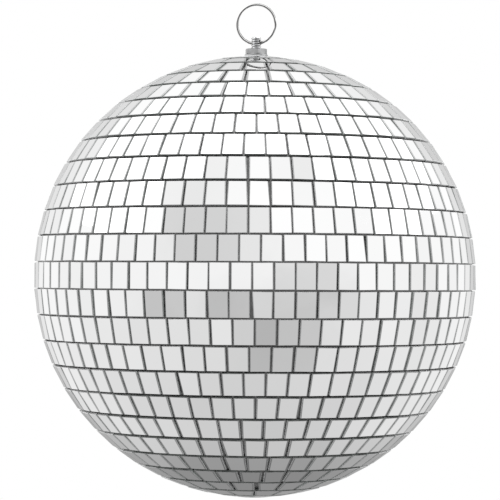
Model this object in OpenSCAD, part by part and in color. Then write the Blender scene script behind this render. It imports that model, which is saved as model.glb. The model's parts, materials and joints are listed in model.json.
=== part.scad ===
// Mirror ball: a hollow two-part core, coated with dark glue and covered with
// rows of small flat glass mirrors, hung from a split ring through a threaded stud.
// Origin: inside the top of the split ring, where a hook carries it. +Z is up,
// and X runs along the cross hole of the stud, which the ball swings about.

/* [Ball] */
// Diameter over the mirror faces
ball_d = 203; // [150:1:260]
// Radius of the patch at each pole that the rows leave bare
pole_r = 8.6; // [8:0.1:12]

/* [Mirror tiles] */
// Width of a tile along its row
tile_w = 8.6; // [7:0.1:10]
// Height of a tile, from the equator side to the pole side
tile_h = 11.4; // [9:0.1:13]
// Thickness of the glass
tile_t = 1.2; // [1:0.1:1.5]
// Gap between neighbours in a row
tile_gap = 0.64; // [0.5:0.02:1.2]
// Extra gap between neighbours in the lower rows
lower_slack = 0.14; // [0:0.02:0.4]
// Gap between one row and the next
row_gap = 0.65; // [0.5:0.05:1.2]
// Growth of the gap between rows from the equator to the poles
row_spread = 1.1; // [0:0.1:1.2]
// Rows next to each pole whose tiles are cut to wedges
cut_rows = 2; // [1:1:3]
// Share of the narrowing towards the pole that the other tiles follow
taper_share = 0.75; // [0:0.05:0.8]
// Largest tilt of a tile out of its place, in degrees
tilt_max = 1; // [0:0.1:1]
// Largest turn of a tile in its own plane, in degrees
twist_max = 0.8; // [0:0.1:0.8]
// Largest slip of a tile along its row, as a share of the narrowest gap there
slip_share = 0.25; // [0:0.05:0.25]
// Largest slip of a tile across its row
rise_max = 0.05; // [0:0.01:0.05]
// Most that one corner lacks on the few tiles that are cut out of square
skew_max = 0.9; // [0:0.1:1]
// How far a row wavers up and down on its way round the ball
waver = 0.08; // [0:0.01:0.08]

/* [Core] */
// Wall of the moulded core
core_wall = 2.2; // [1.6:0.1:3]
// Thickness of the glue coat under the tiles
coat_t = 0.45; // [0.3:0.05:0.8]
// Free space between the glue coat and the backs of the tiles
bed = 0.1; // [0.1:0.05:0.2]
// Height of the tongue that joins the two halves of the core
tongue_h = 4; // [2:0.5:8]
// Radius of the boss inside the upper pole
boss_r = 14; // [10:0.5:18]
// Depth of the boss below the top of the core
boss_h = 6.2; // [4:0.1:10]

/* [Hanger] */
// Outer diameter of the stud's thread
stud_d = 4.83; // [4.5:0.01:5]
// Pitch of the thread
thread_pitch = 1.058; // [0.7:0.001:1.2]
// Depth of the thread
thread_depth = 0.55; // [0.3:0.05:0.6]
// Height of the cross hole's centre above the mirror faces
hole_rise = 6.4; // [6:0.1:8]
// Diameter of the cross hole
hole_d = 2.7; // [2.6:0.05:2.8]
// Stud above the centre of the cross hole
stud_tip = 2.7; // [2.5:0.1:4]
// Stud below the centre of the cross hole
stud_root = 23.9; // [22:0.1:30]
// Width of the nuts across their flats
nut_af = 9.3; // [9.2:0.05:9.5]
// Height of the nuts
nut_h = 2.65; // [2.4:0.05:3.2]
// Turn of the upper nut about the stud, in degrees
nut_turn = 53.6; // [0:0.2:60]
// Diameter of the upper washer
washer_d = 10.8; // [10:0.1:12.5]
// Thickness of the upper washer
washer_t = 1.1; // [0.8:0.1:1.3]
// Diameter of the backing washer inside the core
backing_d = 24; // [18:0.5:26]
// Thickness of the backing washer
backing_t = 1.5; // [1:0.1:2]
// Outer diameter of the spring washer
spring_d = 8.5; // [7.8:0.1:9]
// Thickness of the spring washer
spring_t = 1.2; // [1:0.1:1.4]

/* [Split ring] */
// Radius of each coil, to the middle of the wire
coil_r = 9.1; // [8.5:0.05:9.5]
// Diameter of the wire
wire_d = 1; // [0.9:0.05:1]
// Rise of the rear coil over the front one
coil_shift = 0.5; // [0.3:0.05:0.5]

/* [Hidden] */
$fn = 96;
fit_gap = 0.05;                 // free space between parts that fit in each other
bore_gap = 0.2;                 // free space between the stud and its plain holes
over = 1;                       // how far a cutter reaches past the solid it cuts
golden = 0.618;                 // spreads the starting angles of the rows evenly
growth = 0.3;                   // share of a row's narrowing that its tiles gain in width
corner_play = 0.05;             // how far a tile's corner may stand into the gap below its row
square_share = 12;              // squarely cut tiles for each one cut out of square
ball_r = ball_d / 2;
stud_r = stud_d / 2;

// Ring, pivot and ball, from the origin downwards
ring_z = -(coil_r - wire_d / 2);
chord_rise = stud_r * stud_r / (2 * coil_r);
pivot_z = round(10 * (ring_z - coil_r + (coil_shift + chord_rise) / 2)) / 10;
ball_z = pivot_z - hole_rise - ball_r;
coil_y = wire_d / 2 + 0.02;
crossover_half = 8;             // half of the angle where one coil crosses to the other
coil_end = 16;                  // angle between the crossover's middle and a free end

// Radii of the shells, outermost first
tile_back_r = ball_r - tile_t;
coat_r = tile_back_r - bed;
core_r = coat_r - coat_t - fit_gap;
core_inner_r = core_r - core_wall;
tongue_r = core_r - core_wall / 2;

// Heights of the hanger's pieces above the ball's centre
plate_bottom = coat_r + bed;
plate_top = ball_r;
nut_bottom = plate_top + washer_t;
boss_bottom = core_r - boss_h;
spring_bottom = boss_bottom - backing_t - spring_t;

// Rows of tiles
row_step = (tile_h + row_gap) / ball_r * 180 / PI;
rows = floor((90 - asin(pole_r / ball_r)) / row_step - 0.5);

function row_name(i) =
    i == 0 ? "mirror_row_equator"
           : str("mirror_row_", i > 0 ? "upper_" : "lower_", abs(i) < 10 ? "0" : "", abs(i));

// Length of the circle round the ball at a latitude
function girth(lat) = 2 * PI * ball_r * cos(lat);

function is_cut(i) = abs(i) > rows - cut_rows;
function pole_side(i) = abs(i) * row_step + row_step / 2;
function equator_side(i) = abs(i) * row_step - row_step / 2;
function tile_pitch(i) = tile_w + tile_gap + (i < 0 ? lower_slack : 0);

// The tiles of a row fill its middle line, and may not meet on the pole side
function tiles_in(i) =
    is_cut(i) ? round(girth(i * row_step) / (1.12 * tile_pitch(i)))
              : floor(min(girth(i * row_step) / tile_pitch(i), girth(pole_side(i)) / tile_w));

// Straight distance from one tile of row i to the next at a latitude
function stride(i, lat) = girth(lat) / PI * sin(180 / tiles_in(i));

// Half of how much a row narrows from its equator side to its pole side, as a share
function narrowing(i) =
    (girth(equator_side(i)) - girth(pole_side(i))) / girth(i * row_step) / 2;

// Width of a tile halfway up: the tiles grow a little towards the poles
function middle_width(i) =
    min(tile_w * (1 + growth * narrowing(i)), stride(i, i * row_step) - tile_gap);

// Width of a tile on the side towards the pole (end = -1) or the equator (end = 1)
function width_at(i, end) =
    is_cut(i) ? stride(i, end > 0 ? equator_side(i) : pole_side(i)) - tile_gap
              : middle_width(i) * (1 + end * (i == 0 ? 0 : taper_share * narrowing(i)));

function narrowest_gap(i) = stride(i, pole_side(i)) - width_at(i, -1);

// Height cut off a tile's equator side, whose corners stand out from its curved row
function trim(i) =
    max(0, pow(width_at(i, 1), 2) / (8 * ball_r * cos(equator_side(i))) - corner_play);

// Height that a tile lacks on its pole side, where the gap to the next row has grown
function pole_cut(i) = row_spread * sin(abs(i) * row_step);

// How far row i has wavered at a share of its way round
function wave(i, share) = waver * sin((2 + abs(i) % 3) * 360 * share + 50 * i);

function row_turn(i) = (i * golden - floor(i * golden)) * 360 / tiles_in(i);

// Moves its children from the ball's centre to the ball's place in the part
module on_ball() {
    translate([0, 0, ball_z]) children();
}

// Half of a hollow sphere: the upper half for side = 1, the lower for side = -1
module half_shell(outer_r, inner_r, side) {
    difference() {
        sphere(r = outer_r);
        sphere(r = inner_r);
        translate([0, 0, -side * outer_r])
            cube(2 * outer_r, center = true);
    }
}

// A washer standing on z = 0, with broken edges
module round_washer(outer_d, inner_d, thickness, edge = 0.15) {
    rotate_extrude()
        polygon([
            [inner_d / 2, 0],
            [outer_d / 2 - edge, 0],
            [outer_d / 2, edge],
            [outer_d / 2, thickness - edge],
            [outer_d / 2 - edge, thickness],
            [inner_d / 2, thickness]
        ]);
}

// A hexagon nut standing on z = 0, with its corners chamfered on both faces
module hex_nut() {
    corner_r = nut_af / 2 / cos(30);
    chamfer = 0.35;
    difference() {
        intersection() {
            cylinder(r = corner_r, h = nut_h, $fn = 6);
            rotate_extrude()
                polygon([
                    [0, 0],
                    [nut_af / 2, 0],
                    [corner_r + chamfer / 2, chamfer],
                    [corner_r + chamfer / 2, nut_h - chamfer],
                    [nut_af / 2, nut_h],
                    [0, nut_h]
                ]);
        }
        translate([0, 0, -over])
            cylinder(r = stud_r + fit_gap, h = nut_h + 2 * over);
    }
}

// One coil of the split ring, from angle a to angle b about the ring's axis
module coil(a, b) {
    rotate([0, 0, a])
        rotate_extrude(angle = b - a)
            translate([coil_r, 0])
                circle(d = wire_d);
}

// Two turns of round wire, one behind the other, joined by a crossover on the right
module split_ring() {
    color("gainsboro")
    translate([0, 0, ring_z])
    rotate([90, 0, 0])
    union() {
        translate([0, 0, coil_y])
            coil(0, 360 - coil_end);
        translate([0, coil_shift, -coil_y])
            coil(coil_end, 360);
        rotate([0, 0, -crossover_half])
            rotate_extrude(angle = 2 * crossover_half)
                translate([coil_r, 0])
                    square([0.85 * wire_d, 2 * coil_y], center = true);
    }
}

// Threaded stud with a cross hole near its top for the ring
module hanger_stud() {
    top = stud_tip;
    turns = floor((stud_tip + stud_root) / thread_pitch);
    root_r = stud_r - thread_depth;
    color("silver")
    translate([0, 0, pivot_z])
    difference() {
        rotate_extrude()
            polygon(concat(
                [[0, -stud_root], [root_r, -stud_root]],
                [for (k = [1 : 2 * turns - 1])
                    [k % 2 == 1 ? stud_r : root_r, -stud_root + k * thread_pitch / 2]],
                [[root_r, top - 0.1], [root_r - 0.1, top], [0, top]]
            ));
        rotate([0, 90, 0])
            cylinder(d = hole_d, h = stud_d + 2 * over, center = true);
    }
}

module top_nut() {
    color("lightsteelblue")
    on_ball()
        translate([0, 0, nut_bottom])
            rotate([0, 0, nut_turn])
                hex_nut();
}

module top_washer() {
    color("gainsboro")
    on_ball()
        translate([0, 0, plate_top])
            round_washer(washer_d, stud_d + 2 * bore_gap, washer_t);
}

// Flat steel plate that closes the bare patch at the upper pole
module pole_plate() {
    color("lightgray")
    on_ball()
        translate([0, 0, plate_bottom])
            round_washer(2 * (pole_r - 0.4), stud_d + 2 * bore_gap, plate_top - plate_bottom);
}

module backing_washer() {
    color("darkgray")
    on_ball()
        translate([0, 0, boss_bottom - backing_t])
            round_washer(backing_d, stud_d + 2 * bore_gap, backing_t);
}

// Spring washer, cut through at one side
module spring_washer() {
    cut_angle = 8;
    color("dimgray")
    on_ball()
        translate([0, 0, spring_bottom])
            rotate_extrude(angle = 360 - cut_angle)
                translate([stud_r + bore_gap, 0])
                    square([spring_d / 2 - stud_r - bore_gap, spring_t]);
}

module inner_nut() {
    color("lightsteelblue")
    on_ball()
        translate([0, 0, spring_bottom - nut_h])
            hex_nut();
}

// Upper half of the core, with a boss for the stud and a rebate for the tongue
module core_upper() {
    color("#2a2a2c")
    on_ball()
        difference() {
            union() {
                half_shell(core_r, core_inner_r, 1);
                intersection() {
                    sphere(r = core_r - core_wall / 2);
                    translate([0, 0, boss_bottom])
                        cylinder(r = boss_r, h = boss_h);
                }
            }
            translate([0, 0, -over])
                cylinder(r = tongue_r + fit_gap, h = tongue_h + over + 2 * fit_gap);
            translate([0, 0, boss_bottom - over])
                cylinder(r = stud_r + bore_gap, h = boss_h + 2 * over);
        }
}

// Lower half of the core, with the tongue that the upper half sits over
module core_lower() {
    tongue_inner_r = sqrt(pow(core_inner_r, 2) - pow(tongue_h, 2));
    color("#333336")
    on_ball()
        union() {
            half_shell(core_r, core_inner_r, -1);
            difference() {
                translate([0, 0, -core_wall])
                    cylinder(r = tongue_r, h = tongue_h + core_wall);
                translate([0, 0, -core_wall - over])
                    cylinder(r = tongue_inner_r, h = tongue_h + core_wall + 2 * over);
            }
        }
}

module glue_coat_upper() {
    color("#3c3c3e")
    on_ball()
        difference() {
            half_shell(coat_r, coat_r - coat_t, 1);
            translate([0, 0, core_r - over])
                cylinder(r = stud_r + bore_gap, h = 3 * over);
        }
}

module glue_coat_lower() {
    color("#444446")
    on_ball()
        half_shell(coat_r, coat_r - coat_t, -1);
}

// Round mirror that closes the bare patch at the lower pole
module bottom_pole_mirror() {
    color("#c8ccd0")
    on_ball()
        translate([0, 0, -ball_r])
            cylinder(r = pole_r - 0.4, h = tile_t);
}

// One tile of row i lying on z = 0, with its equator side towards +X and one corner short by skew
module tile(i, skew) {
    pole_x = -tile_h / 2 + pole_cut(i);
    equator_x = tile_h / 2 - trim(i);
    linear_extrude(tile_t)
        polygon([
            [pole_x, -width_at(i, -1) / 2],
            [equator_x, -width_at(i, 1) / 2],
            [equator_x, width_at(i, 1) / 2],
            [pole_x, width_at(i, -1) / 2 - skew]
        ]);
}

// The tiles of row i, counted from the equator, each a little out of true
module mirror_row(i) {
    n = tiles_in(i);
    slip_max = slip_share * narrowest_gap(i);
    tilt_a = rands(-tilt_max, tilt_max, n, 1000 + i);
    tilt_b = rands(-tilt_max, tilt_max, n, 2000 + i);
    twist = rands(-twist_max, twist_max, n, 3000 + i);
    slip = rands(-slip_max, slip_max, n, 4000 + i);
    rise = rands(-rise_max, rise_max, n, 5000 + i);
    skew = rands(-square_share * skew_max, skew_max, n, 6000 + i);
    color(i % 2 == 0 ? "#dfe3e6" : "#cfd4d8")
    on_ball()
        for (k = [0 : n - 1])
            rotate([0, 0, row_turn(i) + 360 * k / n])
                rotate([0, 90 - i * row_step, 0])
                    translate([rise[k] + wave(i, k / n), slip[k], tile_back_r])
                        rotate([tilt_a[k], tilt_b[k], twist[k] + (i < 0 ? 180 : 0)])
                            tile(i, max(0, skew[k]));
}

split_ring();
hanger_stud();
top_nut();
top_washer();
pole_plate();
core_upper();
core_lower();
glue_coat_upper();
glue_coat_lower();
backing_washer();
spring_washer();
inner_nut();
bottom_pole_mirror();
for (i = [rows : -1 : -rows])
    mirror_row(i);
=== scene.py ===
import json
import math
import random

import bmesh
import bpy
from mathutils import Matrix, Vector


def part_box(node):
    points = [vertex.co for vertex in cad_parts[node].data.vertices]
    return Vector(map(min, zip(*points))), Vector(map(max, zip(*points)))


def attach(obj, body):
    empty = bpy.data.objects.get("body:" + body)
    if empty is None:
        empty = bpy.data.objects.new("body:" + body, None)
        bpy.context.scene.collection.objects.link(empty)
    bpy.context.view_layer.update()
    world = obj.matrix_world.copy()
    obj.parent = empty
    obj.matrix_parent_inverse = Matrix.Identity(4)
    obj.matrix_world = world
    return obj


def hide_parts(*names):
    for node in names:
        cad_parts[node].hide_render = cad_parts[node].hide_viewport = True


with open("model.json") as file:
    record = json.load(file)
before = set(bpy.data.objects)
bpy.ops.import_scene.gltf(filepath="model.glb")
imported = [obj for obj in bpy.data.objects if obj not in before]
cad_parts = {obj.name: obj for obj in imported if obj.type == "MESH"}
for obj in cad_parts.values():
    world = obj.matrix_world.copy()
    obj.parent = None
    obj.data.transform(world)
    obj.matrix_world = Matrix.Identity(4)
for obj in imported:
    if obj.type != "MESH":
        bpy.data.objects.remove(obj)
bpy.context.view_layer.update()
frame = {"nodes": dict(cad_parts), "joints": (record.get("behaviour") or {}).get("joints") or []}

MM = 0.001


# ---------------------------------------------------------------- places that the frame gives

# The ball's centre, level with the equator where the two glue coats meet
BALL = Vector((0, 0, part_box("glue_coat_upper")[0].z))
HINGE = Vector(frame["joints"][0]["pos_m"])           # centre of the stud's cross hole
ROWS = sorted(n for n in frame["nodes"] if n.startswith("mirror_row_"))
CAMERA_SIDE = 15                                      # degrees that the camera stands round to +X


def heading(azimuth, elevation):
    """The direction at an azimuth counted from the camera's side and an elevation, in degrees."""
    a, e = math.radians(azimuth + CAMERA_SIDE), math.radians(elevation)
    return Vector((math.sin(a) * math.cos(e), -math.cos(a) * math.cos(e), math.sin(e)))


# ---------------------------------------------------------------- mesh helpers

def new_piece(name, verts, faces, materials, face_materials=None, smooth_angle=None):
    """An object from lists of points and faces, with its normals outwards."""
    mesh = bpy.data.meshes.new(name)
    mesh.from_pydata([tuple(v) for v in verts], [], faces)
    if face_materials:
        mesh.polygons.foreach_set("material_index", face_materials)
    for material in materials:
        mesh.materials.append(material)
    work = bmesh.new()
    work.from_mesh(mesh)
    bmesh.ops.recalc_face_normals(work, faces=work.faces)
    work.to_mesh(mesh)
    work.free()
    if smooth_angle is not None:
        mesh.shade_smooth()
        mesh.set_sharp_from_angle(angle=math.radians(smooth_angle))
    piece = bpy.data.objects.new(name, mesh)
    bpy.context.scene.collection.objects.link(piece)
    return piece


def angles(count):
    """The angles of count points spaced evenly round a circle, in radians."""
    return [2 * math.pi * k / count for k in range(count)]


def turned(profile, sides):
    """The points of a (radius, height) profile turned about the ball's upright axis."""
    return [(r * math.cos(a), r * math.sin(a), z) for r, z in profile for a in angles(sides)]


def grid_faces(rings, count, closed=True):
    """Quads between neighbouring rings of count points; closed joins the last to the first."""
    faces = []
    for i in range(rings if closed else rings - 1):
        a, b = i * count, ((i + 1) % rings) * count
        for j in range(count):
            k = (j + 1) % count
            faces.append((a + j, a + k, b + k, b + j))
    return faces


def tube_faces(rings, count):
    """The faces of a tube of rings, with both of its ends closed."""
    total = rings * count
    ends = [tuple(range(count)), tuple(range(total - 1, total - 1 - count, -1))]
    return grid_faces(rings, count, closed=False) + ends


def rounded(corners, radius, steps=4):
    """A closed outline of (radius, height) corners with each corner rounded off."""
    cuts_per_side = 2.2                               # a side holds two cuts and a little more
    outline = []
    for i, corner in enumerate(corners):
        here = Vector(corner)
        before = Vector(corners[i - 1]) - here
        after = Vector(corners[(i + 1) % len(corners)]) - here
        cut = min(radius, before.length / cuts_per_side, after.length / cuts_per_side)
        start, end = here + before.normalized() * cut, here + after.normalized() * cut
        for k in range(steps + 1):
            t = k / steps
            outline.append(start * (1 - t) ** 2 + here * 2 * t * (1 - t) + end * t ** 2)
    return [(p.x, p.y) for p in outline]


# ---------------------------------------------------------------- shader helpers

def add(tree, kind, inputs=None, **settings):
    """Adds a shader node. An input given as a socket is linked, any other value is set."""
    node = tree.nodes.new("ShaderNode" + kind)
    for key, value in settings.items():
        setattr(node, key, value)
    for key, value in (inputs or {}).items():
        if isinstance(value, bpy.types.NodeSocket):
            tree.links.new(value, node.inputs[key])
        else:
            node.inputs[key].default_value = value
    return node


def new_material(name, **values):
    """A material with one Principled shader, whose plain values are set on its own sockets."""
    material = bpy.data.materials.new(name)
    material.use_nodes = True
    tree = material.node_tree
    tree.nodes.clear()
    shader = add(tree, "BsdfPrincipled")
    add(tree, "OutputMaterial", {"Surface": shader.outputs["BSDF"]})
    for key, value in values.items():
        shader.inputs[key].default_value = value
    return material, tree, shader


def grey(value, blue=0.0):
    """A grey, drawn a little towards blue, or towards yellow where blue is negative."""
    return (value * (1 - blue), value, value * (1 + blue), 1)


def noise(tree, coords, scale, detail=3, roughness=0.5):
    """Noise with scale lumps to the metre."""
    return add(tree, "TexNoise", {"Vector": coords, "Scale": scale, "Detail": detail,
                                  "Roughness": roughness}).outputs["Fac"]


def spread(tree, value, span, result):
    """Maps value from one (low, high) span to another, smoothly and held at both ends."""
    return add(tree, "MapRange", {"Value": value, "From Min": span[0], "From Max": span[1],
                                  "To Min": result[0], "To Max": result[1]},
               interpolation_type="SMOOTHSTEP").outputs["Result"]


def blend_colours(tree, factor, a, b):
    """Colour a where factor is 0 and b where it is 1. A Mix node's colours are inputs 6 and 7."""
    return add(tree, "Mix", {"Factor": factor, 6: a, 7: b}, data_type="RGBA").outputs[2]


def graded(tree, value, span, a, b):
    """Colour a where value is below the span and b where it is above."""
    return blend_colours(tree, spread(tree, value, span, (0, 1)), a, b)


def maths(tree, operation, a, b=0.0, c=0.0):
    return add(tree, "Math", {0: a, 1: b, 2: c}, operation=operation).outputs[0]


def bump(tree, shader, height, distance, strength=1.0):
    node = add(tree, "Bump", {"Height": height, "Distance": distance, "Strength": strength})
    tree.links.new(node.outputs["Normal"], shader.inputs["Normal"])


def object_coords(tree):
    return add(tree, "TexCoord").outputs["Object"]


def attribute(tree, name):
    return add(tree, "Attribute", attribute_name=name).outputs["Fac"]


def glancing(tree):
    """Layer Weight on the surface itself: 0 seen square on, 1 seen edge on."""
    return add(tree, "LayerWeight", {"Blend": 0.5}).outputs["Facing"]


def dress(tree, shader, colour, roughness):
    """Links the colour and the roughness of a surface."""
    tree.links.new(colour, shader.inputs["Base Color"])
    tree.links.new(roughness, shader.inputs["Roughness"])


# ---------------------------------------------------------------- materials

def mirror_face(name, see_edge=False):
    """Silver seen through clear glass: nearly flat, with finger smears and specks of dust.

    Near the cut sides, clear glass seen at a slant shows the side in place of the silver; the side
    is a painted grey, made lighter seen edge on as painted light."""
    material, tree, shader = new_material(name, Metallic=1.0)
    coords = object_coords(tree)
    duller, brighter, dust = grey(0.86, 0.001), grey(0.92, 0.001), grey(0.70)
    side_square_on, side_painted_edge_on = grey(0.24, 0.004), grey(0.56, 0.004)
    smears = noise(tree, coords, 62, 4, 0.6)
    specks = noise(tree, coords, 2600, 2)
    dusty = spread(tree, specks, (0.70, 0.78), (0, 0.5))
    silver = blend_colours(tree, attribute(tree, "tile_tone"), duller, brighter)
    colour = blend_colours(tree, dusty, silver, dust)
    if see_edge:
        slant = glancing(tree)
        reach = spread(tree, slant, (0.0, 0.6), (0.15, 0.72))
        past = maths(tree, "SUBTRACT", attribute(tree, "edge_depth"), reach)
        # Painted light: the side's grey is lighter where the face is seen edge on
        side = graded(tree, slant, (0.2, 0.8), side_square_on, side_painted_edge_on)
        colour = blend_colours(tree, spread(tree, past, (-0.12, 0.08), (1, 0)), colour, side)
    haze = spread(tree, smears, (0.50, 0.78), (0.012, 0.05))
    rough = maths(tree, "ADD", haze, maths(tree, "MULTIPLY", dusty, 0.3))
    dress(tree, shader, colour, rough)
    bump(tree, shader, noise(tree, coords, 55, 2), 0.04 * MM)
    return material


def mirror_arris(name, dark, light, metal, painted_slant_light=None):
    """The narrow bevel along a mirror's front edges, where the side of the glass shows through.

    It turns to the grey given as its last argument where it is seen at a slant, a painted glancing
    sheen."""
    material, tree, shader = new_material(name, Metallic=metal)
    coords = object_coords(tree)
    grain = noise(tree, coords, 1900, 4, 0.65)
    tint = graded(tree, grain, (0.3, 0.7), grey(dark, 0.01), grey(light, 0.006))
    if painted_slant_light:
        # Painted sheen: the bevel turns towards a pale grey where it is seen at a slant
        tint = graded(tree, glancing(tree), (0.4, 0.75), tint, grey(painted_slant_light, 0.004))
    dress(tree, shader, tint, spread(tree, grain, (0.3, 0.75), (0.2, 0.4)))
    bump(tree, shader, grain, 0.02 * MM, 0.6)
    return material


def glass_wall(name, dark, light, painted_slant_light):
    """The cut side of a mirror: grey-green glass, shiny where it broke clean, dull where chipped.

    Seen at a slant it turns to the grey given as its last argument, painted light that stands in
    for what the glass passes on from its silver."""
    material, tree, shader = new_material(name, IOR=2.2)
    coords = object_coords(tree)
    grain = noise(tree, coords, 1500, 5, 0.6)
    patches = noise(tree, coords, 260, 2)
    green = Vector((0.94, 1.0, 0.97))
    tint = graded(tree, patches, (0.35, 0.65), (*(green * dark), 1), (*(green * light), 1))
    # Painted light: the wall turns towards a pale grey where it is seen at a slant
    tint = graded(tree, glancing(tree), (0.5, 0.8), tint, grey(painted_slant_light, 0.004))
    dress(tree, shader, tint, spread(tree, grain, (0.3, 0.7), (0.06, 0.26)))
    bump(tree, shader, grain, 0.03 * MM, 0.7)
    return material


def mirror_backing():
    """Grey paint that protects the silver on the back."""
    material, tree, shader = new_material("mirror_backing")
    mottle = noise(tree, object_coords(tree), 420, 4)
    dress(tree, shader,
          graded(tree, mottle, (0.35, 0.65), grey(0.05), grey(0.09, 0.02)),
          spread(tree, mottle, (0.3, 0.7), (0.45, 0.65)))
    bump(tree, shader, mottle, 0.05 * MM, 0.5)
    return material


def dark_glue():
    """Black adhesive, brushed on and set with small lumps and shiny dips."""
    material, tree, shader = new_material("dark_glue", IOR=1.9)
    coords = object_coords(tree)
    lumps = noise(tree, coords, 340, 5, 0.6)
    fine = noise(tree, coords, 1600, 2)
    dress(tree, shader,
          graded(tree, lumps, (0.35, 0.7), grey(0.04), grey(0.09)),
          spread(tree, fine, (0.3, 0.7), (0.08, 0.25)))
    bump(tree, shader, lumps, 0.08 * MM)
    return material


def plated_metal(name, dark, light, rough, blue, streak=(1, 1, 1), wear=0.0, painted_sheen=0.0):
    """Plated metal: faint clouds, hairline scratches along one direction, duller patches, and a
    painted sheen towards white at glancing angles.

    rough is its smallest and largest roughness, and wear and the painted sheen are shares from 0
    to 1."""
    material, tree, shader = new_material(name, Metallic=1.0)
    coords = object_coords(tree)
    stretched = add(tree, "Mapping", {"Vector": coords, "Scale": streak}).outputs["Vector"]
    clouds = noise(tree, coords, 420, 3)
    hairs = noise(tree, stretched, 2400, 3, 0.6)
    colour = graded(tree, clouds, (0.3, 0.7), grey(dark, blue), grey(light, blue))
    if wear:
        rubbed = spread(tree, noise(tree, coords, 900, 4, 0.7), (0.62, 0.72), (0, wear))
        colour = blend_colours(tree, rubbed, colour, grey(dark * 0.45, -0.02))
    if painted_sheen:
        # Painted sheen: the colour turns towards white where the surface is seen at a glancing
        # angle
        bright = spread(tree, glancing(tree), (0.12, 0.55), (0, painted_sheen))
        colour = blend_colours(tree, bright, colour, grey(0.95))
    mixed = maths(tree, "ADD", maths(tree, "MULTIPLY", clouds, 0.5),
                  maths(tree, "MULTIPLY", hairs, 0.5))
    dress(tree, shader, colour, spread(tree, mixed, (0.35, 0.65), rough))
    bump(tree, shader, hairs, 0.006 * MM)
    return material


def spun_steel():
    """Zinc-plated sheet with fine rings from turning, about the ball's upright axis."""
    material, tree, shader = new_material("spun_steel", Metallic=1.0)
    coords = object_coords(tree)
    rings = add(tree, "TexWave", {"Vector": coords, "Scale": 1700, "Distortion": 0.6, "Detail": 2},
                wave_type="RINGS", rings_direction="Z").outputs["Fac"]
    clouds = noise(tree, coords, 300, 3)
    dress(tree, shader,
          graded(tree, clouds, (0.3, 0.7), grey(0.58, 0.01), grey(0.70, 0.01)),
          spread(tree, clouds, (0.3, 0.7), (0.26, 0.4)))
    bump(tree, shader, rings, 0.01 * MM)
    return material


def moulded_plastic():
    """Black moulded plastic with a fine eroded grain."""
    material, tree, shader = new_material("moulded_plastic")
    coords = object_coords(tree)
    flow = noise(tree, coords, 30, 3)
    grain = noise(tree, coords, 2200, 2)
    dress(tree, shader,
          graded(tree, flow, (0.3, 0.7), grey(0.022), grey(0.04, 0.03)),
          spread(tree, grain, (0.3, 0.7), (0.42, 0.6)))
    bump(tree, shader, grain, 0.03 * MM, 0.6)
    return material


# The tiles' bevels and walls along each row are darker than those across it. Seen at a slant, they
# and the walls across it turn paler by painted light.
TILE_MATERIALS = [
    mirror_face("mirror_face"),
    mirror_face("mirror_edge", see_edge=True),
    mirror_backing(),
    mirror_arris("clean_arris", dark=0.40, light=0.62, metal=0.5),
    mirror_arris("darker_row_arris", dark=0.20, light=0.40, metal=0.4, painted_slant_light=0.95),
    glass_wall("clean_wall", dark=0.30, light=0.46, painted_slant_light=0.60),
    glass_wall("darker_row_wall", dark=0.14, light=0.24, painted_slant_light=0.95),
]
FACE, EDGE, BACKING, ARRIS, DARKER_ROW_ARRIS, WALL, DARKER_ROW_WALL = range(7)
NICKEL = plated_metal("bright_nickel", 0.14, 0.20, (0.08, 0.20), blue=-0.008, wear=0.3, painted_sheen=0.8)
ZINC = plated_metal("bright_zinc", 0.30, 0.42, (0.12, 0.28), blue=0.008, streak=(1, 1, 0.2),
                    wear=0.4)
THREAD = plated_metal("zinc_thread", 0.42, 0.56, (0.10, 0.24), blue=0.008, wear=0.3, painted_sheen=0.7)
# A darker, duller metal for the roots of the thread
THREAD_ROOT = plated_metal("darker_thread_root", 0.05, 0.12, (0.3, 0.5), blue=-0.02)
SPRING_STEEL = plated_metal("oiled_spring_steel", 0.10, 0.17, (0.28, 0.5), blue=0.02)
SPUN_STEEL = spun_steel()
GLUE = dark_glue()
PLASTIC = moulded_plastic()


# ---------------------------------------------------------------- mirror tiles

ARRIS_WIDTH = 0.12 * MM
ARRIS_SPREAD = (0.7, 1.3)                             # how the arris varies from tile to tile
ARRIS_DEPTH = 0.10 * MM
PAINT_DEPTH = 0.14 * MM
CHIPPED_SHARE = 0.08
CHIP_SIZES = (0.25, 0.6)                              # in mm, along each side of the corner
EDGE_BAND = 1.0 * MM                                  # how far in a cut side can show through
POLE_TONE = 0.6                                       # the pole mirror's tone, from dull to bright
SAME_POINT = 0.001 * MM


def tiles_of(node):
    """The flat tiles of a row's CAD solid: each one's front corners, outward normal, thickness."""
    mesh = frame["nodes"][node].data
    number, points, owner = {}, [], []
    for vertex in mesh.vertices:
        key = tuple(round(c / SAME_POINT) for c in vertex.co)
        if key not in number:
            number[key] = len(points)
            points.append(vertex.co.copy())
        owner.append(number[key])
    group = list(range(len(points)))

    def root(i):
        while group[i] != i:
            i = group[i]
        return i

    for face in mesh.polygons:
        first = root(owner[face.vertices[0]])
        for v in face.vertices[1:]:
            group[root(owner[v])] = first
    members = {}
    for i, point in enumerate(points):
        members.setdefault(root(i), []).append(point)
    for corners in members.values():
        middle = sum(corners, Vector()) / len(corners)
        out = (middle - BALL).normalized()
        corners.sort(key=lambda p: (p - BALL).dot(out))
        back, front = corners[:4], corners[4:]
        side = out.orthogonal().normalized()
        across = out.cross(side)
        front.sort(key=lambda p: math.atan2((p - middle).dot(across), (p - middle).dot(side)))
        normal = (front[2] - front[0]).cross(front[3] - front[1]).normalized()
        if normal.dot(out) < 0:
            normal.negate()
        yield front, normal, (front[0] - back[0]).dot(normal)


def edges_of(outline):
    """The vector along each edge of an outline, from its point to the next."""
    return [outline[(j + 1) % len(outline)] - point for j, point in enumerate(outline)]


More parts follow.
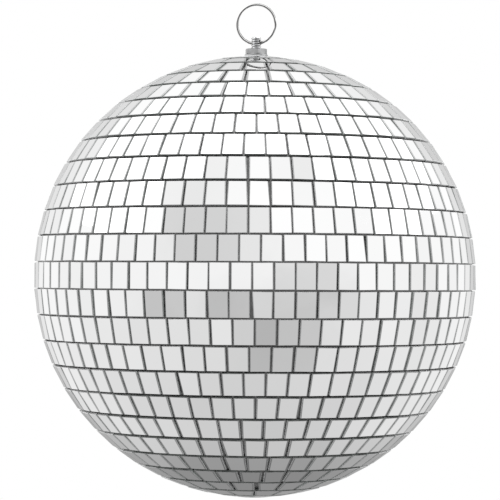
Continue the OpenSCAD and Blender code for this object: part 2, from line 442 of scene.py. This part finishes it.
def inset(outline, normal, width):
    """A flat convex outline drawn in by width."""
    inward = [normal.cross(edge.normalized()) for edge in edges_of(outline)]
    moved = []
    for i, point in enumerate(outline):
        half = (inward[i - 1] + inward[i]).normalized()
        moved.append(point + half * (width / half.dot(inward[i - 1])))
    return moved


def chipped(outline, draw):
    """The outline with one corner nipped off."""
    i = draw.randrange(len(outline))
    point = outline[i]
    cuts = [
        point + (beside - point).normalized() * draw.uniform(*CHIP_SIZES) * MM
        for beside in (outline[i - 1], outline[(i + 1) % len(outline)])
    ]
    return outline[:i] + cuts + outline[i + 1:]


def runs_along(edge, along_row):
    """Whether an edge lies within 45 degrees or so of the row's direction."""
    return abs(edge.normalized().dot(along_row)) >= 0.7


def upright_edges(outline, along_row):
    """The numbers of the edges that cross the row, without a nipped corner's short edge."""
    return [
        j for j, edge in enumerate(edges_of(outline))
        if edge.length > EDGE_BAND and not runs_along(edge, along_row)
    ]


def with_band_points(outline, along_row):
    """The outline with a point added one band's width away from each upright edge."""
    upright = upright_edges(outline, along_row)
    grown = []
    for j, (point, edge) in enumerate(zip(outline, edges_of(outline))):
        grown.append(point)
        if j in upright or edge.length < 3 * EDGE_BAND:
            continue
        step = edge.normalized() * EDGE_BAND
        if (j - 1) % len(outline) in upright:
            grown.append(point + step)
        if (j + 1) % len(outline) in upright:
            grown.append(point + edge - step)
    return grown


def add_tile(shape, outline, normal, thickness, arris, depths):
    """Adds a tile to shape = (points, faces, materials): face, arris, wall, painted edge, back.

    depths gets each point's distance from the nearest upright edge, as a share of the band."""
    points, faces, kinds = shape
    along_row = Vector((0, 0, 1)).cross(normal).normalized()
    outline = with_band_points(outline, along_row)
    upright = upright_edges(outline, along_row)
    edges = edges_of(outline)
    n, start = len(outline), len(points)
    layers = [inset(outline, normal, arris)]
    for depth in (ARRIS_DEPTH, thickness - PAINT_DEPTH, thickness):
        layers.append([p - normal * depth for p in outline])
    for layer in layers:
        points.extend(layer)
        for point in layer:
            away = [abs((point - layers[0][j]).dot(normal.cross(edges[j]).normalized()))
                    for j in upright]
            depths.append(min(away + [EDGE_BAND]) / EDGE_BAND)
    ends = set()
    for j in upright:
        faces.append(tuple(start + i % n for i in (j - 1, j, j + 1, j + 2)))
        kinds.append(EDGE)
        ends.update((j, (j + 1) % n))
    faces.append(tuple(start + i for i in range(n) if i not in ends))
    kinds.append(FACE)
    sides = ((ARRIS, DARKER_ROW_ARRIS), (WALL, DARKER_ROW_WALL), (BACKING, BACKING))
    for level, (clean, row_side) in enumerate(sides):
        upper, lower = start + level * n, start + (level + 1) * n
        for j, edge in enumerate(edges):
            k = (j + 1) % n
            faces.append((upper + j, lower + j, lower + k, upper + k))
            # Sides that run along the row take the darker bevel and wall
            kinds.append(row_side if runs_along(edge, along_row) else clean)
    faces.append(tuple(reversed(range(start + 3 * n, start + 4 * n))))
    kinds.append(BACKING)
    return len(points) - start


def point_attribute(piece, name, values):
    """One number for each point of the mesh, which a material reads."""
    layer = piece.data.attributes.new(name, "FLOAT", "POINT")
    layer.data.foreach_set("value", values)


def mirror_row(node):
    """One row of mirrors, each built where its CAD tile is."""
    draw = random.Random(node)
    shape, tones, depths = ([], [], []), [], []
    for outline, normal, thickness in tiles_of(node):
        if (outline[1] - outline[0]).cross(outline[2] - outline[1]).dot(normal) < 0:
            outline.reverse()
        if draw.random() < CHIPPED_SHARE:
            outline = chipped(outline, draw)
        arris = ARRIS_WIDTH * draw.uniform(*ARRIS_SPREAD)
        made = add_tile(shape, outline, normal, thickness, arris, depths)
        tones += [draw.random()] * made
    piece = new_piece(node.replace("mirror_row", "tiles"), *shape[:2], TILE_MATERIALS, shape[2])
    point_attribute(piece, "tile_tone", tones)
    point_attribute(piece, "edge_depth", depths)
    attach(piece, "ball")
    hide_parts(node)


for row in ROWS:
    mirror_row(row)


def pole_mirror():
    """The round mirror at the lower pole. Its edges are all too short to show through its face."""
    low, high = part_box("bottom_pole_mirror")
    sides = 72
    down = Vector((0, 0, -1))
    radius = (high.x - low.x) / 2
    outline = [
        Vector((radius * math.cos(a), -radius * math.sin(a), low.z)) for a in angles(sides)
    ]
    shape = ([], [], [])
    made = add_tile(shape, outline, down, high.z - low.z, ARRIS_WIDTH, [])
    piece = new_piece("pole_mirror", *shape[:2], TILE_MATERIALS, shape[2])
    point_attribute(piece, "tile_tone", [POLE_TONE] * made)
    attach(piece, "ball")
    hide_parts("bottom_pole_mirror")


pole_mirror()


# ---------------------------------------------------------------- split ring

COIL_GAP = 0.04 * MM
FREE_END = 16                                         # degrees from the right-hand side
CROSSING = 9                                          # degrees either way that the coils cross in
RING_STEPS, WIRE_SIDES = 300, 20
CUT_END_RADII = (0.86, 0.97, 1)                       # the wire's radius at its last three rings


def split_ring():
    """Two turns of round wire, crossing from the front coil to the rear one on the right."""
    low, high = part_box("split_ring")
    wire_r = (high.y - low.y - COIL_GAP) / 4
    coil_r = high.x - wire_r
    front_z, rear_z = low.z + coil_r + wire_r, high.z - coil_r - wire_r
    side_y = (high.y - low.y) / 2 - wire_r
    start, end = 360 - FREE_END, -360 + FREE_END
    verts = []
    for i in range(RING_STEPS + 1):
        angle = start + (end - start) * i / RING_STEPS
        across = min(1, max(0, (CROSSING - angle) / (2 * CROSSING)))
        across = across * across * (3 - 2 * across)
        centre = Vector((0, side_y * (2 * across - 1), front_z + (rear_z - front_z) * across))
        from_end = min(i, RING_STEPS - i, len(CUT_END_RADII) - 1)
        radius = wire_r * CUT_END_RADII[from_end]
        out = Vector((math.cos(math.radians(angle)), 0, math.sin(math.radians(angle))))
        verts += [
            centre + out * (coil_r + radius * math.cos(a)) + Vector((0, radius * math.sin(a), 0))
            for a in angles(WIRE_SIDES)
        ]
    faces = tube_faces(RING_STEPS + 1, WIRE_SIDES)
    piece = new_piece("ring_wire", verts, faces, [NICKEL], smooth_angle=50)
    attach(piece, "ring")
    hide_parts("split_ring")


split_ring()


# ---------------------------------------------------------------- threaded stud

THREAD_PITCH = 1.058 * MM
THREAD_DEPTH = 0.55 * MM
# Shares of the pitch at which the profile leaves the root, meets the crest and comes back
THREAD_RISE, CREST_START, CREST_END, THREAD_FALL = 0.12, 0.46, 0.60, 0.94
THREAD_SIDES = 40
ROOT_BAND_DEPTH = 0.12 * MM
STUD_BLUNT = 0.45 * MM                                # height of the bevel at each end
STUD_END_SHARE = 0.80                                 # the end's radius beside the crest's
CROSS_HOLE_R = 1.35 * MM
CUTTER_SIDES = 80


def cut_with(piece, verts, faces, operation):
    """Applies a boolean with a closed solid, which is then thrown away."""
    cutter = new_piece("cutter", verts, faces, [])
    modifier = piece.modifiers.new("cut", "BOOLEAN")
    modifier.operation = operation
    modifier.solver = "EXACT"
    modifier.object = cutter
    bpy.context.view_layer.update()
    shown = piece.evaluated_get(bpy.context.evaluated_depsgraph_get())
    made = bpy.data.meshes.new_from_object(shown)
    piece.modifiers.clear()
    old = piece.data
    piece.data = made
    bpy.data.meshes.remove(old)
    bpy.data.objects.remove(cutter)


def helix_solid(low_z, high_z, root_r, crest_r):
    """The points and faces of a thread that winds past both heights, with its ends closed."""
    profile = ((0, root_r), (THREAD_RISE, root_r), (CREST_START, crest_r),
               (CREST_END, crest_r), (THREAD_FALL, root_r))
    sides, count = THREAD_SIDES, len(profile)
    past = 1.5                                        # turns beyond each end
    turns = math.ceil((high_z - low_z) / THREAD_PITCH + 2 * past)
    bottom = low_z - past * THREAD_PITCH
    verts = []
    for turn in range(turns):
        for share, radius in profile:
            for j, angle in enumerate(angles(sides)):
                z = bottom + THREAD_PITCH * (turn + share + j / sides)
                verts.append((radius * math.cos(angle), radius * math.sin(angle), z))
    # After one time round, a line of points meets the line one turn above its start
    faces = []
    for i in range(turns * count - 1):
        a, b = i * sides, (i + 1) * sides
        faces += [(a + j, a + j + 1, b + j + 1, b + j) for j in range(sides - 1)]
        if i + count + 1 < turns * count:
            c, d = (i + count) * sides, (i + count + 1) * sides
            faces.append((a + sides - 1, c, d, b + sides - 1))
    top = (turns * count - 1) * sides
    lower_end = list(range(sides)) + [k * sides for k in range(count, 0, -1)]
    upper_end = [top - k * sides + sides - 1 for k in range(count, 0, -1)]
    upper_end += reversed(range(top, top + sides))
    return verts, faces + [tuple(lower_end), tuple(upper_end)]


def threaded_stud():
    """The stud, with a cut thread, blunt ends and the cross hole that the ring passes through."""
    low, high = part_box("hanger_stud")
    crest_r = (high.x - low.x) / 2
    root_r = crest_r - THREAD_DEPTH
    end_r = crest_r * STUD_END_SHARE
    piece = new_piece("stud_thread", *helix_solid(low.z, high.z, root_r, crest_r),
                      [THREAD, THREAD_ROOT])
    blank = [(end_r, low.z), (crest_r, low.z + STUD_BLUNT),
             (crest_r, high.z - STUD_BLUNT), (end_r, high.z)]
    cut_with(piece, turned(blank, CUTTER_SIDES), tube_faces(len(blank), CUTTER_SIDES), "INTERSECT")
    reach = crest_r * 1.5                             # past both sides of the stud
    hole = [
        (x, HINGE.y + CROSS_HOLE_R * math.cos(a), HINGE.z + CROSS_HOLE_R * math.sin(a))
        for x in (-reach, reach) for a in angles(CUTTER_SIDES)
    ]
    cut_with(piece, hole, tube_faces(2, CUTTER_SIDES), "DIFFERENCE")
    # Faces near the roots of the thread take the darker metal
    for face in piece.data.polygons:
        if math.hypot(face.center.x, face.center.y) < root_r + ROOT_BAND_DEPTH:
            face.material_index = 1
    piece.data.shade_smooth()
    piece.data.set_sharp_from_angle(angle=math.radians(32))
    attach(piece, "ball")
    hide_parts("hanger_stud")


threaded_stud()


# ---------------------------------------------------------------- nuts and washers

NUT_SLOPE = 2.6                                       # how fast the chamfer widens with height
NUT_ARRIS = 0.03 * MM
NUT_ROUND = 0.05 * MM                                 # rounding of the corners and of the chamfer
NUT_FACE_SHARE = 0.97                                 # the flat end's radius beside the flats'
BORE_CHAMFER_WIDTH, BORE_CHAMFER_DEPTH = 0.28 * MM, 0.30 * MM
NUT_SIDE_STEPS = 14


def bore_radius(mesh):
    return min(math.hypot(v.co.x, v.co.y) for v in mesh.vertices)


def hex_nut(name, node):
    """A chamfered hexagon nut that stands where the CAD nut does."""
    low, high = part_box(node)
    mesh = frame["nodes"][node].data
    corner = max(mesh.vertices, key=lambda v: v.co.x ** 2 + v.co.y ** 2).co
    corner_r = math.hypot(corner.x, corner.y)
    turn = math.atan2(corner.y, corner.x)
    flat_r = corner_r * math.cos(math.pi / 6)
    bore_r = bore_radius(mesh)
    height = high.z - low.z
    sides = 6 * NUT_SIDE_STEPS
    columns = []
    for angle in angles(sides):
        off = (angle + math.pi / 6) % (math.pi / 3) - math.pi / 6
        hexagon = min(flat_r / math.cos(math.pi / 6 - abs(off)), corner_r - NUT_ROUND)
        rise = (hexagon - flat_r) / NUT_SLOPE + NUT_ARRIS
        lower = [
            (bore_r, BORE_CHAMFER_DEPTH), (bore_r + BORE_CHAMFER_WIDTH, 0),
            (flat_r * NUT_FACE_SHARE, 0), ((flat_r + hexagon) / 2, rise / 2),
            (hexagon, rise), (hexagon, rise + NUT_ROUND),
        ]
        upper = [(r, height - z) for r, z in reversed(lower)]
        columns.append([
            (r * math.cos(angle + turn), r * math.sin(angle + turn), low.z + z)
            for r, z in lower + upper
        ])
    rings = list(zip(*columns))
    verts = [point for ring in rings for point in ring]
    piece = new_piece(name, verts, grid_faces(len(rings), sides), [ZINC], smooth_angle=24)
    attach(piece, "ball")
    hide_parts(node)


hex_nut("nut_over_washer", "top_nut")
hex_nut("nut_inside", "inner_nut")

WASHER_SIDES = 96


def washer(name, node, material, edge):
    """A flat washer with rolled edges that lies where the CAD washer does."""
    low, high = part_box(node)
    outer = (high.x - low.x) / 2
    inner = bore_radius(frame["nodes"][node].data)
    corners = [(inner, low.z), (outer, low.z), (outer, high.z), (inner, high.z)]
    profile = rounded(corners, edge)
    verts, faces = turned(profile, WASHER_SIDES), grid_faces(len(profile), WASHER_SIDES)
    piece = new_piece(name, verts, faces, [material], smooth_angle=35)
    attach(piece, "ball")
    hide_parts(node)


washer("washer_on_pole", "top_washer", ZINC, 0.28 * MM)
washer("plate_on_pole", "pole_plate", SPUN_STEEL, 0.22 * MM)
washer("washer_inside", "backing_washer", SPUN_STEEL, 0.25 * MM)


# ---------------------------------------------------------------- CAD nodes that stay

for node, material in (
    ("glue_coat_upper", GLUE), ("glue_coat_lower", GLUE),
    ("core_upper", PLASTIC), ("core_lower", PLASTIC),
    ("spring_washer", SPRING_STEEL),
):
    frame["nodes"][node].data.materials[0] = material


# ---------------------------------------------------------------- studio

def card_group():
    """A node group that darkens or lights one soft-edged rectangle of the surroundings."""
    tree = bpy.data.node_groups.new("studio_card", "ShaderNodeTree")
    for name, kind in (("Direction", "Vector"), ("Right", "Vector"), ("Up", "Vector"),
                       ("Facing", "Vector"), ("Soft", "Float"), ("Level", "Float")):
        tree.interface.new_socket(name, in_out="INPUT", socket_type="NodeSocket" + kind)
    tree.interface.new_socket("Factor", in_out="OUTPUT", socket_type="NodeSocketFloat")
    given = tree.nodes.new("NodeGroupInput").outputs
    result = tree.nodes.new("NodeGroupOutput")

    def along(name):
        return add(tree, "VectorMath", {0: given["Direction"], 1: given[name]},
                   operation="DOT_PRODUCT").outputs["Value"]

    # Inside the rectangle both |right| and |up| are under 1; the 4th powers round its corners
    facing = along("Facing")
    powers = [
        maths(tree, "POWER",
              maths(tree, "ABSOLUTE", maths(tree, "DIVIDE", along(name), facing)), 4.0)
        for name in ("Right", "Up")
    ]
    reach = maths(tree, "POWER", maths(tree, "ADD", *powers), 0.25)
    span = [maths(tree, operation, 1.0, given["Soft"]) for operation in ("SUBTRACT", "ADD")]
    inside = spread(tree, reach, span, (1, 0))
    seen = maths(tree, "MULTIPLY", inside, maths(tree, "GREATER_THAN", facing, 0.05))
    change = maths(tree, "MULTIPLY", seen, maths(tree, "SUBTRACT", given["Level"], 1.0))
    tree.links.new(maths(tree, "ADD", change, 1.0), result.inputs["Factor"])
    return tree


# Soft cards round the ball: azimuth from the camera's side, elevation, half width and half
# height, all in degrees, softness of the edge, and how bright the card is beside its surroundings
CARDS = (
    (-28, 22, 18, 14, 0.25, 0.66),
    (0, 20, 8, 14, 0.30, 0.82),
    (20, -6, 38, 6, 0.30, 0.74),
    (16, -16, 40, 7, 0.25, 0.83),
    (-50, -15, 11, 7, 0.30, 0.68),
    (-18, -14, 11, 6, 0.30, 0.72),
    (20, -30, 18, 15, 0.30, 0.69),
    (-2, -38, 9, 16, 0.40, 0.84),
    (-42, -22, 34, 14, 0.50, 0.95),
    (180, -38, 22, 32, 0.60, 0.35),
    (180, 14, 26, 24, 0.60, 0.62),
    (-40, 46, 12, 12, 0.40, 0.84),
    (38, 50, 10, 9, 0.40, 0.90),
    (0, 78, 10, 12, 0.50, 0.88),
    (150, 12, 9, 16, 0.40, 0.85),
    (-140, 20, 12, 12, 0.40, 0.88),
    (100, -8, 10, 10, 0.50, 0.93),
)
# Brightness of the surroundings by elevation, from the floor under the ball to overhead
HEIGHTS = (
    (-90, 0.63), (-70, 0.69), (-50, 0.79), (-30, 0.885),
    (-12, 0.965), (6, 1.05), (22, 1.12), (90, 1.12),
)
RAMP_TOP = 2.0                                        # the brightness that a ramp value of 1 is


def fill_ramp(ramp):
    """Sets the colour ramp's stops from HEIGHTS."""
    ramp.interpolation = "LINEAR"
    stops = ramp.elements
    while len(stops) > 1:
        stops.remove(stops[-1])
    for i, (elevation, level) in enumerate(HEIGHTS):
        place = (math.sin(math.radians(elevation)) + 1) / 2
        stop = stops[0] if i == 0 else stops.new(place)
        stop.position = place
        stop.color = (*[level / RAMP_TOP] * 3, 1)


def studio():
    """The surroundings that the mirrors show, with plain white behind the ball for the camera."""
    world = bpy.data.worlds.new("studio")
    bpy.context.scene.world = world
    world.use_nodes = True
    tree = world.node_tree
    tree.nodes.clear()
    direction = add(tree, "TexCoord").outputs["Generated"]
    height = add(tree, "SeparateXYZ", {0: direction}).outputs["Z"]
    ramp = add(tree, "ValToRGB", {"Fac": maths(tree, "MULTIPLY_ADD", height, 0.5, 0.5)})
    fill_ramp(ramp.color_ramp)
    group = card_group()
    level = maths(tree, "MULTIPLY", ramp.outputs["Color"], RAMP_TOP)
    for azimuth, elevation, half_w, half_h, soft, bright in CARDS:
        facing = heading(azimuth, elevation)
        right = heading(azimuth + 90, 0)
        up = right.cross(-facing)
        card = add(tree, "Group", node_tree=group)
        tree.links.new(direction, card.inputs["Direction"])
        for name, value in (("Right", right / math.tan(math.radians(half_w))),
                            ("Up", up / math.tan(math.radians(half_h))),
                            ("Facing", facing), ("Soft", soft), ("Level", bright)):
            card.inputs[name].default_value = value
        level = maths(tree, "MULTIPLY", level, card.outputs["Factor"])
    mottle = spread(tree, noise(tree, direction, 3.2, 2), (0.35, 0.65), (0.96, 1.02))
    surroundings = add(tree, "Background", {"Color": maths(tree, "MULTIPLY", level, mottle)})
    backdrop = add(tree, "Background", {"Color": (1, 1, 1, 1)})
    seen = add(tree, "LightPath").outputs["Is Camera Ray"]
    mix = add(tree, "MixShader", {0: seen, 1: surroundings.outputs[0], 2: backdrop.outputs[0]})
    add(tree, "OutputWorld", {"Surface": mix.outputs[0]})


studio()


def softbox(name, azimuth, elevation, distance, width, height, watts):
    """A large soft light that faces the ball, and shows in its mirrors but not behind it."""
    lamp = bpy.data.lights.new(name, "AREA")
    lamp.shape = "RECTANGLE"
    lamp.size, lamp.size_y, lamp.energy = width, height, watts
    light = bpy.data.objects.new(name, lamp)
    bpy.context.scene.collection.objects.link(light)
    away = heading(azimuth, elevation)
    light.location = BALL + away * distance
    light.rotation_mode = "QUATERNION"
    light.rotation_quaternion = away.to_track_quat("Z", "Y")
    light.visible_camera = False


softbox("softbox_left", -94, 42, distance=1.3, width=1.5, height=1.2, watts=5.5)
softbox("softbox_right", 94, 42, distance=1.3, width=1.5, height=1.2, watts=5.5)
softbox("softbox_top", 0, 88, distance=1.3, width=1.2, height=1.2, watts=7)

FLOOR_DROP = 0.9                                      # from the ball's centre down to the floor
FLOOR_R = 6.5
FLOOR_FADE = (0.35 * FLOOR_R, 0.95 * FLOOR_R)
FLOOR_SIDES = 128


def floor():
    """A pale disc well below the ball, which thins out into the white backdrop."""
    level = BALL.z - FLOOR_DROP
    verts = [(0, 0, level)] + turned([(FLOOR_R, level)], FLOOR_SIDES)
    faces = [(0, k + 1, (k + 1) % FLOOR_SIDES + 1) for k in range(FLOOR_SIDES)]
    material = bpy.data.materials.new("pale_floor")
    material.use_nodes = True
    tree = material.node_tree
    tree.nodes.clear()
    coords = object_coords(tree)
    flat = add(tree, "VectorMath", {0: coords, 1: (1, 1, 0)}, operation="MULTIPLY").outputs[0]
    away = add(tree, "VectorMath", {0: flat}, operation="LENGTH").outputs["Value"]
    tone = blend_colours(tree, noise(tree, coords, 6, 3), grey(0.60), grey(0.63))
    matt = add(tree, "BsdfDiffuse", {"Color": tone})
    clear = add(tree, "BsdfTransparent")
    mix = add(tree, "MixShader", {0: spread(tree, away, FLOOR_FADE, (0, 1)),
                                  1: matt.outputs[0], 2: clear.outputs[0]})
    add(tree, "OutputMaterial", {"Surface": mix.outputs[0]})
    disc = new_piece("studio_floor", verts, faces, [material])
    disc.visible_glossy = False


floor()


# ---------------------------------------------------------------- camera

CAMERA_DISTANCE = 1.105
LENS, SENSOR = 172, 36                                # both in mm
TURN_LEFT, TILT_UP, ROLL = 0.12, 0.63, 0.36           # degrees

camera_data = bpy.data.cameras.new("camera")
camera_data.lens = LENS
camera_data.sensor_width = SENSOR
camera = bpy.data.objects.new("camera", camera_data)
bpy.context.scene.collection.objects.link(camera)
camera.location = BALL + heading(0, 0) * CAMERA_DISTANCE
aim = (
    Matrix.Rotation(math.radians(CAMERA_SIDE + TURN_LEFT), 3, "Z")
    @ Matrix.Rotation(math.radians(90 + TILT_UP), 3, "X")
    @ Matrix.Rotation(math.radians(ROLL), 3, "Z")
)
camera.rotation_euler = aim.to_euler()
bpy.context.scene.camera = camera

view = bpy.context.scene.view_settings
view.view_transform = "Standard"
view.look = "None"
view.exposure = 0
view.gamma = 1


# ---------------------------------------------------------------- the end

bpy.context.view_layer.update()
